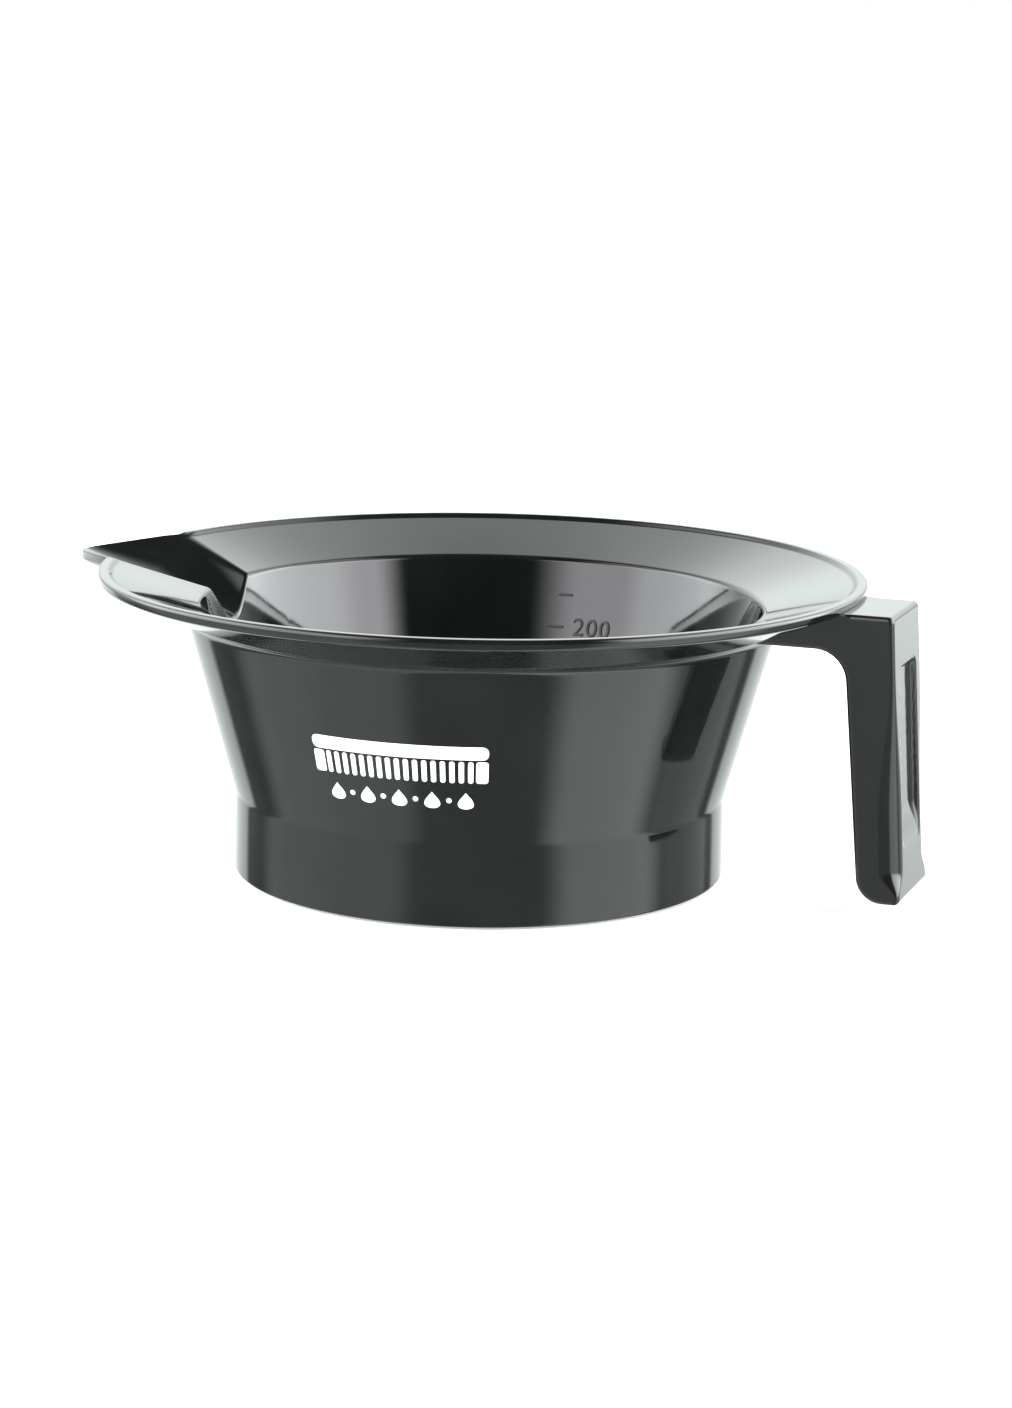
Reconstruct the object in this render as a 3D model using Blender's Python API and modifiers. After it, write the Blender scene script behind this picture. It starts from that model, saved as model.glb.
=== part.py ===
"""Hair colour bowl: a moulded mixing bowl with a pouring spout, a side handle and a rubber foot ring.

The bowl's axis is Z and it stands on z = 0. The handle is on +X and the spout is on -X.
Lengths in this file are millimetres; MM turns them into Blender's metres.
"""

import math

import bmesh
import bpy
from mathutils import Matrix, Vector

MM = 0.001
GAP = 0.3            # clearance between neighbouring pieces

# Rim and flare: a shallow cone from the basin's edge out to the rim.
RIM_R = 72.0
RIM_Z = 57.5
FLARE_R = 52.6       # inner edge of the flare, where the basin drops away
FLARE_Z = 51.4
LIP = 1.8            # thickness of the rim's edge

# Outside: neck under the flare, cone, and the upright foot.
NECK_R = 55.7
NECK_Z = 48.9
FOOT_R = 46.3        # crease between cone and foot
FOOT_TOP = 15.4
FOOT_BASE_R = 46.4
FOOT_BOTTOM = 0.4    # the rubber ring stands this much prouder than the foot
FOOT_CHAMFER = 0.7
NECK_EASE = 1.8      # reach of the rounding under the flare
SKIRT_R = 43.9       # inside of the foot
UNDERSIDE_Z = 4.0    # underneath of the floor

# Inside of the basin.
FLOOR_R = 41.3
FLOOR_Z = 6.8
FLOOR_FILLET = 5.0   # reach of the rounding between floor and wall
EDGE_EASE = 0.8      # reach of the rounding between wall and flare

# Spout: a rounded V-shaped channel from the basin's wall to a pointed tip.
CORNER_ANGLE = math.radians(12.9)    # where the beak leaves the round rim, from the spout's axis
TIP_U = 83.1                         # reach of the tip from the bowl's axis
TIP_Z = 55.9
TIP_SOFTNESS = 2.8                   # rounds the beak's point
THROAT_U = 50.8                      # lowest point of the channel, on the basin's wall
THROAT_Z = 44.4
THROAT_CREASE = (52.0, 8.4)          # where the channel's edge meets the flare's inner edge
CHANNEL_WALL = 2.1
THROAT_ROUNDING = 0.8                # share of the half width that is rounded at the throat
BEAK_ROUNDING = 1.0                  # and at the tip
CREASE_BLEND = 0.8                   # height over which channel and flare run into each other

# Handle: an arm under the flare and a grip that hangs beside the bowl.
HANDLE_TOP = 56.1
HANDLE_BOTTOM = 3.6
HANDLE_OUTER_TOP_X = 81.2
HANDLE_OUTER_BOTTOM_X = 84.6
GRIP_INNER_TOP_X = 72.4
GRIP_INNER_BOTTOM_X = 76.6
ARM_UNDERSIDE = 49.3
ARM_INNER_X = 50.0                   # inside the bowl's wall, and cut back to clear it
HANDLE_HALF_TOP = 10.2
HANDLE_HALF_BOTTOM = 11.2
ELBOW_RADIUS = 6.0
TOE_RADIUS = 5.0
CORNER_RADIUS = 0.7
EDGE_BEVEL = 0.8
RECESS_HALF_WIDTH = 6.6
RECESS_BOTTOM = 12.5
RECESS_TOP = 46.5
RECESS_DEPTH = 1.1

# Foot ring: pressed inside the foot, against the underside of the floor.
RING_WIDTH = 2.4
RING_CHAMFER = 0.4

# Either side of the spout's axis, in degrees, the sections are closer together and carry the channel.
SPOUT_SPAN = 20.0
SPOUT_STEPS = 24
ROUND_STEPS = 44
TURNED_STEPS = 72    # round the ring and the cutter
CUTTER_SPARE = 2.0   # how far the cutter runs on past what it cuts


def clear_scene():
    for item in list(bpy.data.objects):
        bpy.data.objects.remove(item)


def new_collection(name):
    collection = bpy.data.collections.new(name)
    bpy.context.scene.collection.children.link(collection)
    return collection


def new_material(name, colour, roughness):
    material = bpy.data.materials.new(name)
    material.use_nodes = True
    shader = material.node_tree.nodes["Principled BSDF"]
    shader.inputs["Base Color"].default_value = (*colour, 1.0)
    shader.inputs["Roughness"].default_value = roughness
    shader.inputs["Metallic"].default_value = 0.0
    return material


def add_object(name, mesh, collection, material=None):
    item = bpy.data.objects.new(name, mesh)
    collection.objects.link(item)
    if material:
        mesh.materials.append(material)
    return item


def mix(a, b, t):
    return a + (b - a) * t


def smooth_min(a, b, blend):
    """The smaller of a and b, rounded over where they are within blend of each other."""
    t = max(blend - abs(a - b), 0.0) / blend
    return min(a, b) - t * t * blend / 4


def solve(function, low, high):
    """The place between low and high where a rising function passes zero."""
    for _ in range(50):
        middle = (low + high) / 2
        if function(middle) > 0:
            high = middle
        else:
            low = middle
    return (low + high) / 2


# ---- the bowl's surfaces, as heights over (u, v): u towards the spout, v across it ----

CORNER_U = RIM_R * math.cos(CORNER_ANGLE)
CORNER_V = RIM_R * math.sin(CORNER_ANGLE)
BEAK_TAPER = (TIP_U - CORNER_U) / (math.hypot(CORNER_V, TIP_SOFTNESS) - TIP_SOFTNESS)


def flare_top(r):
    return mix(FLARE_Z, RIM_Z, (r - FLARE_R) / (RIM_R - FLARE_R))


def flare_underside(r):
    return mix(NECK_Z, RIM_Z - LIP, (r - NECK_R) / (RIM_R - NECK_R))


def wall_inside(z):
    return mix(FLOOR_R, FLARE_R, (z - FLOOR_Z) / (FLARE_Z - FLOOR_Z))


def cone_outside(z):
    return mix(FOOT_R, NECK_R, (z - FOOT_TOP) / (NECK_Z - FOOT_TOP))


def beak_edge(v):
    """How far the beak reaches at the distance v from the spout's axis."""
    return TIP_U - BEAK_TAPER * (math.hypot(v, TIP_SOFTNESS) - TIP_SOFTNESS)


def channel_half_width(u):
    if u < CORNER_U:
        throat_u, throat_v = THROAT_CREASE
        return max(mix(throat_v, CORNER_V, (u - throat_u) / (CORNER_U - throat_u)), 1.0)
    reach = (TIP_U - u) / BEAK_TAPER + TIP_SOFTNESS
    return math.sqrt(max(reach * reach - TIP_SOFTNESS ** 2, 0.01))


def channel_top(u, v):
    """Height of the channel's surface."""
    half = channel_half_width(u)
    along = (u - THROAT_U) / (TIP_U - THROAT_U)
    bottom = mix(THROAT_Z, TIP_Z, along)
    if u < CORNER_U:
        edge = flare_top(math.hypot(u, half))
    else:
        edge = mix(RIM_Z, TIP_Z, (u - CORNER_U) / (TIP_U - CORNER_U))
    rounding = mix(THROAT_ROUNDING, BEAK_ROUNDING, min(max(along, 0.0), 1.0))
    rise = math.hypot(v / half, rounding) - rounding
    return bottom + (edge - bottom) * rise / (math.hypot(1.0, rounding) - rounding)


def top_height(r, angle):
    u, v = r * math.cos(angle), r * math.sin(angle)
    if u <= 0 or abs(angle) > math.radians(SPOUT_SPAN):
        return flare_top(r)
    return smooth_min(flare_top(r), channel_top(u, v), CREASE_BLEND)


def underside_height(r, angle):
    u, v = r * math.cos(angle), r * math.sin(angle)
    if u <= 0 or abs(angle) > math.radians(SPOUT_SPAN):
        return flare_underside(r)
    return smooth_min(flare_underside(r), channel_top(u, v) - CHANNEL_WALL, CREASE_BLEND)


def rim_radius(angle):
    if abs(angle) >= CORNER_ANGLE:
        return RIM_R
    return solve(lambda r: r * math.cos(angle) - beak_edge(r * math.sin(angle)), FLARE_R, TIP_U + LIP)


# ---- one section of the bowl, from the floor's centre round the rim to the underside's centre ----

def straight(start, end, count):
    """count points from start towards end, without end."""
    return [(mix(start[0], end[0], i / count), mix(start[1], end[1], i / count)) for i in range(count)]


def rounded(before, corner, after, count):
    """A corner eased over from the point before it to the point after it."""
    points = []
    for i in range(count + 1):
        t = i / count
        points.append(tuple(mix(mix(a, b, t), mix(b, c, t), t) for a, b, c in zip(before, corner, after)))
    return points


def towards(corner, other, distance):
    span = math.dist(corner, other)
    return tuple(mix(a, b, distance / span) for a, b in zip(corner, other))


def basin_points(angle):
    """Floor, wall and top of the flare or channel, up to where the lip starts to round."""
    below, above = THROAT_Z - CHANNEL_WALL, FLARE_Z + CHANNEL_WALL
    edge_z = solve(lambda z: z - top_height(wall_inside(z), angle), below, above)
    edge = (wall_inside(edge_z), edge_z)
    floor_corner = (FLOOR_R, FLOOR_Z)
    ease_in, ease_out = (FLOOR_R - FLOOR_FILLET, FLOOR_Z), towards(floor_corner, edge, FLOOR_FILLET)
    before = towards(edge, floor_corner, EDGE_EASE)
    after = (edge[0] + EDGE_EASE, top_height(edge[0] + EDGE_EASE, angle))
    reach = rim_radius(angle) - LIP / 2
    points = straight((0.0, FLOOR_Z), ease_in, 3)
    points += rounded(ease_in, floor_corner, ease_out, 4)
    points += straight(ease_out, before, 3)[1:]
    points += rounded(before, edge, after, 2)
    for i in range(1, 8):
        r = mix(after[0], reach, i / 8)
        points.append((r, top_height(r, angle)))
    return points


def lip_points(angle):
    r = rim_radius(angle)
    top, bottom = top_height(r, angle), underside_height(r, angle)
    middle = (r, (top + bottom) / 2)
    inner = r - LIP / 2
    upper = rounded((inner, top_height(inner, angle)), (r, top), middle, 2)
    lower = rounded(middle, (r, bottom), (inner, underside_height(inner, angle)), 2)
    return upper + lower[1:]


def outside_points(angle):
    """Underside of the flare or channel, neck, cone, foot and the hollow under the floor."""
    below, above = THROAT_Z - 4 * CHANNEL_WALL, NECK_Z + CHANNEL_WALL
    neck_z = solve(lambda z: z - underside_height(cone_outside(z), angle), below, above)
    neck = (cone_outside(neck_z), neck_z)
    start = rim_radius(angle) - LIP / 2
    before = (neck[0] + NECK_EASE, underside_height(neck[0] + NECK_EASE, angle))
    crease = (FOOT_R, FOOT_TOP)
    points = []
    for i in range(1, 6):
        r = mix(start, before[0], i / 6)
        points.append((r, underside_height(r, angle)))
    points += rounded(before, neck, towards(neck, crease, NECK_EASE), 3)
    points += straight(towards(neck, crease, NECK_EASE), crease, 3)[1:]
    points += [crease, (FOOT_BASE_R, FOOT_BOTTOM + FOOT_CHAMFER), (FOOT_BASE_R - FOOT_CHAMFER, FOOT_BOTTOM)]
    points += [(SKIRT_R, FOOT_BOTTOM), (SKIRT_R, UNDERSIDE_Z), (0.0, UNDERSIDE_Z)]
    return points


def section_angles():
    """Angles from the spout's axis, close together at the spout and wider apart round the rest."""
    fine = [mix(-SPOUT_SPAN, SPOUT_SPAN, i / SPOUT_STEPS) for i in range(SPOUT_STEPS)]
    coarse = [mix(SPOUT_SPAN, 360 - SPOUT_SPAN, i / ROUND_STEPS) for i in range(ROUND_STEPS)]
    return [math.radians(a) for a in fine + coarse]


def loft_round(name, sections):
    """A closed mesh through sections that all start and end on the axis."""
    shape = bmesh.new()
    rings = []
    for angle, points in sections:
        turn = Matrix.Rotation(math.pi + angle, 3, "Z")
        rings.append([shape.verts.new(turn @ Vector((r, 0.0, z)) * MM) for r, z in points])
    for i, ring in enumerate(rings):
        following = rings[(i + 1) % len(rings)]
        for a in range(len(ring) - 1):
            shape.faces.new((ring[a], ring[a + 1], following[a + 1], following[a]))
    bmesh.ops.remove_doubles(shape, verts=shape.verts, dist=1e-6)
    bmesh.ops.dissolve_degenerate(shape, edges=shape.edges, dist=1e-6)
    bmesh.ops.recalc_face_normals(shape, faces=shape.faces)
    mesh = bpy.data.meshes.new(name)
    shape.to_mesh(mesh)
    shape.free()
    mesh.shade_smooth()
    mesh.set_sharp_from_angle(angle=math.radians(35))
    return mesh


def make_bowl(collection, material):
    sections = []
    for angle in section_angles():
        signed = (angle + math.pi) % (2 * math.pi) - math.pi
        points = basin_points(signed) + lip_points(signed) + outside_points(signed)
        sections.append((angle, points))
    return add_object("bowl_shell", loft_round("bowl_shell", sections), collection, material)


# ---- the handle ----

def arc_corner(before, corner, after, radius, steps):
    """Points of the arc that rounds a corner of an outline."""
    a = (Vector(before) - Vector(corner)).normalized()
    b = (Vector(after) - Vector(corner)).normalized()
    half = a.angle(b) / 2
    centre = Vector(corner) + (a + b).normalized() * (radius / math.sin(half))
    start = Vector(corner) + a * (radius / math.tan(half))
    sweep = (math.pi - 2 * half) * (1 if a.x * b.y - a.y * b.x < 0 else -1)
    spoke = start - centre
    return [centre + Matrix.Rotation(sweep * i / steps, 2) @ spoke for i in range(steps + 1)]


def rounded_outline(corners):
    """An outline through (x, z, radius) corners, with an arc at each that has a radius."""
    points = []
    for i, (x, z, radius) in enumerate(corners):
        if radius == 0:
            points.append(Vector((x, z)))
            continue
        before = corners[i - 1][:2]
        after = corners[(i + 1) % len(corners)][:2]
        points += arc_corner(before, (x, z), after, radius, 6 if radius > 2 else 2)
    return points


def plate(name, outline, half_thickness):
    """A flat outline in the XZ plane, made half_thickness thick each way along Y."""
    curve = bpy.data.curves.new(name, "CURVE")
    curve.dimensions = "2D"
    curve.fill_mode = "BOTH"
    curve.extrude = half_thickness * MM
    spline = curve.splines.new("POLY")
    spline.points.add(len(outline) - 1)
    for point, place in zip(spline.points, outline):
        point.co = (place.x * MM, place.y * MM, 0.0, 1.0)
    spline.use_cyclic_u = True
    item = bpy.data.objects.new(name, curve)
    bpy.context.scene.collection.objects.link(item)
    bpy.context.view_layer.update()
    mesh = bpy.data.meshes.new_from_object(item.evaluated_get(bpy.context.evaluated_depsgraph_get()))
    bpy.data.objects.remove(item)
    shape = bmesh.new()
    shape.from_mesh(mesh)
    bmesh.ops.remove_doubles(shape, verts=shape.verts, dist=1e-6)
    bmesh.ops.transform(shape, matrix=Matrix.Rotation(math.pi / 2, 4, "X"), verts=shape.verts)
    bmesh.ops.recalc_face_normals(shape, faces=shape.faces)
    shape.to_mesh(mesh)
    shape.free()
    return mesh


def turned(name, profile, collection, material=None):
    """A profile in millimetres, down its outer side first, turned about Z by a Screw modifier."""
    mesh = bpy.data.meshes.new(name)
    points = [(r * MM, 0.0, z * MM) for r, z in profile]
    closed = profile[0][0] > 0
    edges = [(i, i + 1) for i in range(len(points) - 1)]
    if closed:
        edges.append((len(points) - 1, 0))
    mesh.from_pydata(points, edges, [])
    item = add_object(name, mesh, collection, material)
    screw = item.modifiers.new("turn", "SCREW")
    screw.steps = screw.render_steps = TURNED_STEPS
    screw.use_merge_vertices = True
    screw.merge_threshold = 0.00001
    return item


def mark_cutter(item):
    item.hide_render = True
    item.display_type = "WIRE"


def cut(item, cutter):
    difference = item.modifiers.new("cut " + cutter.name, "BOOLEAN")
    difference.operation = "DIFFERENCE"
    difference.object = cutter


def make_fit_cutter(cutters):
    """The bowl's outside grown by the gap, which the handle is cut back to."""
    above, below, under_neck = RIM_Z + CUTTER_SPARE, FOOT_TOP, NECK_Z - CUTTER_SPARE
    neck = (NECK_R + GAP, NECK_Z - GAP)
    under_rim = (RIM_R + GAP, RIM_Z - LIP - GAP)
    profile = [(0.0, above), (RIM_R + GAP, above), under_rim]
    profile += rounded(towards(neck, under_rim, NECK_EASE), neck, (cone_outside(under_neck) + GAP, under_neck), 3)
    profile += [(cone_outside(below) + GAP, below), (0.0, below)]
    cutter = turned("bowl_outside", profile, cutters)
    mark_cutter(cutter)
    return cutter


def make_recess_cutter(cutters):
    """A round-ended slab that sinks a shallow panel into the grip's outer face."""
    half_length = (RECESS_TOP - RECESS_BOTTOM) / 2
    w = RECESS_HALF_WIDTH
    outline = rounded_outline([(-half_length, -w, w * 0.99), (half_length, -w, w * 0.99),
                               (half_length, w, w * 0.99), (-half_length, w, w * 0.99)])
    mesh = plate("recess", outline, RECESS_DEPTH)
    middle_z = (RECESS_TOP + RECESS_BOTTOM) / 2
    across = (HANDLE_TOP - middle_z) / (HANDLE_TOP - HANDLE_BOTTOM)
    face_x = mix(HANDLE_OUTER_TOP_X, HANDLE_OUTER_BOTTOM_X, across)
    lean = math.atan2(HANDLE_OUTER_BOTTOM_X - HANDLE_OUTER_TOP_X, HANDLE_TOP - HANDLE_BOTTOM)
    stand = Matrix.Rotation(math.pi / 2, 4, "Z") @ Matrix.Rotation(math.pi / 2, 4, "Y")
    mesh.transform(Matrix.Rotation(-lean, 4, "Y") @ stand)
    cutter = add_object("recess", mesh, cutters)
    cutter.location = (face_x * MM, 0.0, middle_z * MM)
    mark_cutter(cutter)
    return cutter


def make_handle(collection, cutters, material):
    outline = rounded_outline([
        (ARM_INNER_X, ARM_UNDERSIDE, 0),
        (GRIP_INNER_TOP_X, ARM_UNDERSIDE, ELBOW_RADIUS),
        (GRIP_INNER_BOTTOM_X, HANDLE_BOTTOM, TOE_RADIUS),
        (HANDLE_OUTER_BOTTOM_X, HANDLE_BOTTOM, CORNER_RADIUS),
        (HANDLE_OUTER_TOP_X, HANDLE_TOP, CORNER_RADIUS),
        (ARM_INNER_X, HANDLE_TOP, 0),
    ])
    mesh = plate("handle", outline, HANDLE_HALF_TOP)
    for vertex in mesh.vertices:
        down = (HANDLE_TOP * MM - vertex.co.z) / ((HANDLE_TOP - HANDLE_BOTTOM) * MM)
        vertex.co.y *= mix(1.0, HANDLE_HALF_BOTTOM / HANDLE_HALF_TOP, down)
    handle = add_object("handle", mesh, collection, material)
    bevel = handle.modifiers.new("soft edges", "BEVEL")
    bevel.width = EDGE_BEVEL * MM
    bevel.segments = 2
    bevel.limit_method = "ANGLE"
    bevel.angle_limit = math.radians(60)
    cut(handle, make_fit_cutter(cutters))
    cut(handle, make_recess_cutter(cutters))
    return handle


def make_foot_ring(collection, material):
    outer, inner = SKIRT_R - GAP, SKIRT_R - GAP - RING_WIDTH
    top, c = UNDERSIDE_Z - GAP, RING_CHAMFER
    profile = [(outer, top), (outer, c), (outer - c, 0.0), (inner + c, 0.0), (inner, c), (inner, top)]
    return turned("anti_slip_ring", profile, collection, material)


def main():
    clear_scene()
    parts = new_collection("hair_colour_bowl")
    cutters = new_collection("cutters")
    black = new_material("gloss_black_plastic", (0.012, 0.014, 0.013), 0.12)
    rubber = new_material("black_rubber", (0.02, 0.02, 0.02), 0.8)
    make_bowl(parts, black)
    make_handle(parts, cutters, black)
    make_foot_ring(parts, rubber)


main()
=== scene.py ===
"""The looks of the hair colour bowl: fine surfaces, materials, studio light and camera.

The bowl's axis is Z, it stands on z = 0, its handle is on +X and its spout on -X.
Lengths are millimetres; MM turns them into Blender's metres.
"""

import math

import bmesh
import bpy
from mathutils import Matrix, Vector


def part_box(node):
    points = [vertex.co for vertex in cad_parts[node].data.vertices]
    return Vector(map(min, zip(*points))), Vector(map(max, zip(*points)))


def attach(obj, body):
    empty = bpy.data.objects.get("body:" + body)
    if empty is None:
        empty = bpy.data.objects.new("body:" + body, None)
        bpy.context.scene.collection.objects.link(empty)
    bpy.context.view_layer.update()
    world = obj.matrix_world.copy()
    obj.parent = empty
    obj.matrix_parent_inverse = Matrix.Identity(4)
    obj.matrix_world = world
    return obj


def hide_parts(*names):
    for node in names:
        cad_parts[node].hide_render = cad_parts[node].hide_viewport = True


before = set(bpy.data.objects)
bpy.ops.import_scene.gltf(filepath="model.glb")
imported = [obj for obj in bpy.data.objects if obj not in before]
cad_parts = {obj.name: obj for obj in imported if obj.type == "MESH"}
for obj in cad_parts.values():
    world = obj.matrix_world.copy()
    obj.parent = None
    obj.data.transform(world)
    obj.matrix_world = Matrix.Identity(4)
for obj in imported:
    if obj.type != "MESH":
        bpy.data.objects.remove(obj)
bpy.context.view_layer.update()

MM = 0.001


def node_box(node):
    """A CAD node's lowest and highest corner in millimetres."""
    low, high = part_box(node)
    return low / MM, high / MM


SHELL_LOW, SHELL_HIGH = node_box("bowl_shell")
HANDLE_LOW, HANDLE_HIGH = node_box("handle")
RING_LOW, RING_HIGH = node_box("anti_slip_ring")

# Rim and flare.
RIM_R = SHELL_HIGH.x
RIM_TOP = SHELL_HIGH.z
FLARE_R, FLARE_Z = 52.6, RIM_TOP - 5.82
FLARE_SLOPE = 0.3144
RIM_Z = FLARE_Z + (RIM_R - FLARE_R) * FLARE_SLOPE    # where the flare's line would meet the rim's face
LIP = 1.8                                            # thickness of the rim's edge below that line
LAND_WIDTH, LAND_Z = 1.7, RIM_TOP + 0.25             # nearly flat top of the bead that runs round the rim
BEAD_STEP = 1.2                                      # width of the slope from the flare up to the land
BEAD_RUN_IN = 0.3                                    # plain flare before the bead's slope, in the same run
BEAD_CROWN = 0.06                                    # how far the land falls away to its two edges
BEAD_END, BEAD_START = 0.97, 1.2                     # where the bead fades, as shares of CORNER_ANGLE
LIP_ROUND, LIP_UNDER_ROUND = 0.75, 0.65

# Outside.
NECK_R, NECK_Z = 55.7, 48.9                          # corner under the flare
FOOT_R, FOOT_TOP = 46.3, 15.4                        # crease between cone and foot
FOOT_BASE_R = 46.4
FOOT_BOTTOM = SHELL_LOW.z
SKIRT_R = 43.9                                       # inside of the foot
UNDERSIDE_Z = 4.0                                    # underneath of the floor
FOOT_EASE, SKIRT_EASE, HOLLOW_EASE = 0.5, 0.4, 0.6
GATE_R, GATE_HEIGHT, GATE_SLOPE = 1.6, 0.5, 0.3      # the moulding's gate mark, in a dimple under the floor
DIMPLE_R, DIMPLE_DEPTH, DIMPLE_SLOPE = 5.0, 0.6, 0.6
CENTRE_R = 0.4                                       # the sections stop here, and a fan closes the middle

# Inside.
FLOOR_R, FLOOR_Z = 41.3, 6.8
FLOOR_FILLET, EDGE_EASE, NECK_EASE = 5.0, 0.8, 1.1

# Spout.
CORNER_ANGLE = math.radians(12.9)                    # where the beak leaves the round rim
TIP_U, TIP_Z = -SHELL_LOW.x, 55.9
TIP_SOFTNESS = 2.8                                   # rounds the beak's point
THROAT_U, THROAT_Z = 50.8, 44.4                      # lowest point of the channel, on the basin's wall
THROAT_CREASE = (52.0, 8.4)                          # where the channel's edge meets the flare's inner edge
CHANNEL_WALL = 2.1
THROAT_ROUNDING, BEAK_ROUNDING = 0.8, 1.0            # how round the channel is, for its half width
CREASE_BLEND = 1.0                                   # height over which channel and flare run into each other
SPOUT_SPAN = math.radians(20.0)                      # the channel lies within this, on either side
SPOUT_SECTIONS, ROUND_SECTIONS = 160, 210            # sections across the spout, and round the rest

# Handle.
HANDLE_TOP, HANDLE_BOTTOM = HANDLE_HIGH.z, HANDLE_LOW.z
OUTER_TOP_X, OUTER_BOTTOM_X = HANDLE_HIGH.x - 3.35, HANDLE_HIGH.x
INNER_TOP_X, INNER_BOTTOM_X = 72.4, 76.6
ARM_UNDERSIDE, ARM_START_X = 49.3, 55.0
HALF_TOP, HALF_BOTTOM = 10.2, 11.2
ELBOW_RADIUS, TOE_RADIUS, CORNER_RADIUS = 6.0, 5.0, 1.1
WELD = 0.5                                           # how far the arm's top sinks into the flare
EDGE_UNDER_RIM, EDGE_AT_ENDS = 0.3, 0.8              # rounding of the long edges
EDGE_OUTER_GAIN, EDGE_INNER_GAIN = 2.8, 0.1          # how much it grows half-way down the grip
GRIP_OUTER_SIDE_X = (OUTER_TOP_X + OUTER_BOTTOM_X) / 2 - 1.9    # outline points beyond it are the outer side's
SIDE_TOLERANCE = 0.05
TURN_STEPS, FLAT_STEPS = 6, 72                       # round a long edge, and across a flat side
RECESS_HALF_WIDTH, RECESS_BOTTOM, RECESS_TOP = 6.6, 12.5, 46.5
RECESS_DEPTH, RECESS_WALL, RECESS_CORNER = 1.1, 0.7, 2.2
RECESS_RUN_OUT = 8.0                                 # length over which it fades away at its lower end

# Camera.
CAMERA_AT = (0.2206, -0.6147, 0.1673)
CAMERA_HEADING = math.radians(19.33)                 # turned left from +Y
CAMERA_PITCH = math.radians(11.73)                   # down
CAMERA_ROLL = math.radians(1.03)
CAMERA_LENS, SENSOR = 90.1, 36.0


def mix(a, b, t):
    return a + (b - a) * t


def clamp(value, low=0.0, high=1.0):
    return min(max(value, low), high)


def smoothstep(value, low, high):
    t = clamp((value - low) / (high - low))
    return t * t * (3 - 2 * t)


def smooth_min(a, b, blend):
    """The smaller of a and b, rounded over where they are within blend of each other."""
    t = max(blend - abs(a - b), 0.0) / blend
    return min(a, b) - t * t * blend / 4


def solve(function, low, high):
    """The place between low and high where a rising function passes zero."""
    for _ in range(40):
        middle = (low + high) / 2
        if function(middle) > 0:
            high = middle
        else:
            low = middle
    return (low + high) / 2


# ---- meshes ----

def new_object(name, mesh, material, replaces=None):
    """A piece of the object that rides on its one body."""
    item = bpy.data.objects.new(name, mesh)
    bpy.context.scene.collection.objects.link(item)
    mesh.materials.clear()
    mesh.materials.append(material)
    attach(item, "root")
    if replaces:
        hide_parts(replaces)
    return item


def finish_mesh(shape, name):
    bmesh.ops.recalc_face_normals(shape, faces=shape.faces)
    mesh = bpy.data.meshes.new(name)
    shape.to_mesh(mesh)
    shape.free()
    mesh.shade_smooth()
    return mesh


def weigh_normals(item):
    """Flat faces keep their own normal, so the roundings beside them shade cleanly."""
    weighted = item.modifiers.new("weighted normals", "WEIGHTED_NORMAL")
    weighted.keep_sharp = True


def straight(start, end, count):
    """count points from start towards end, without end."""
    return [tuple(mix(a, b, i / count) for a, b in zip(start, end)) for i in range(count)]


def rounded(before, corner, after, count):
    """A corner eased over from the point before it to the point after it."""
    points = []
    for i in range(count + 1):
        t = i / count
        points.append(tuple(mix(mix(a, b, t), mix(b, c, t), t) for a, b, c in zip(before, corner, after)))
    return points


def towards(corner, other, distance):
    span = math.dist(corner, other)
    return tuple(mix(a, b, distance / span) for a, b in zip(corner, other))


def eased(before, corner, after, reach, count):
    """The corner between two straight runs, eased over reach on each side."""
    return rounded(towards(corner, before, reach), corner, towards(corner, after, reach), count)


# ---- the bowl's surfaces, as heights over (u, v): u towards the spout, v across it ----

CORNER_U = RIM_R * math.cos(CORNER_ANGLE)
CORNER_V = RIM_R * math.sin(CORNER_ANGLE)
BEAK_TAPER = (TIP_U - CORNER_U) / (math.hypot(CORNER_V, TIP_SOFTNESS) - TIP_SOFTNESS)


def flare_top(r):
    return RIM_Z - (RIM_R - r) * FLARE_SLOPE


def flare_underside(r):
    return mix(NECK_Z, RIM_Z - LIP, (r - NECK_R) / (RIM_R - NECK_R))


def wall_inside(z):
    return mix(FLOOR_R, FLARE_R, (z - FLOOR_Z) / (FLARE_Z - FLOOR_Z))


def cone_outside(z):
    return mix(FOOT_R, NECK_R, (z - FOOT_TOP) / (NECK_Z - FOOT_TOP))


def beak_edge(v):
    """How far the beak reaches at the distance v from the spout's axis."""
    return TIP_U - BEAK_TAPER * (math.hypot(v, TIP_SOFTNESS) - TIP_SOFTNESS)


def channel_half_width(u):
    if u < CORNER_U:
        throat_u, throat_v = THROAT_CREASE
        return max(mix(throat_v, CORNER_V, (u - throat_u) / (CORNER_U - throat_u)), 1.0)
    reach = (TIP_U - u) / BEAK_TAPER + TIP_SOFTNESS
    return math.sqrt(max(reach * reach - TIP_SOFTNESS ** 2, 0.01))


def channel_top(u, v):
    """Height of the channel's surface."""
    half = channel_half_width(u)
    along = (u - THROAT_U) / (TIP_U - THROAT_U)
    bottom = mix(THROAT_Z, TIP_Z, along)
    if u < CORNER_U:
        edge = flare_top(math.hypot(u, half))
    else:
        edge = mix(RIM_Z, TIP_Z, (u - CORNER_U) / (TIP_U - CORNER_U))
    rounding = mix(THROAT_ROUNDING, BEAK_ROUNDING, clamp(along))
    rise = math.hypot(v / half, rounding) - rounding
    return bottom + (edge - bottom) * rise / (math.hypot(1.0, rounding) - rounding)


def in_spout(u, angle):
    return u > 0 and abs(angle) <= SPOUT_SPAN


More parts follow.
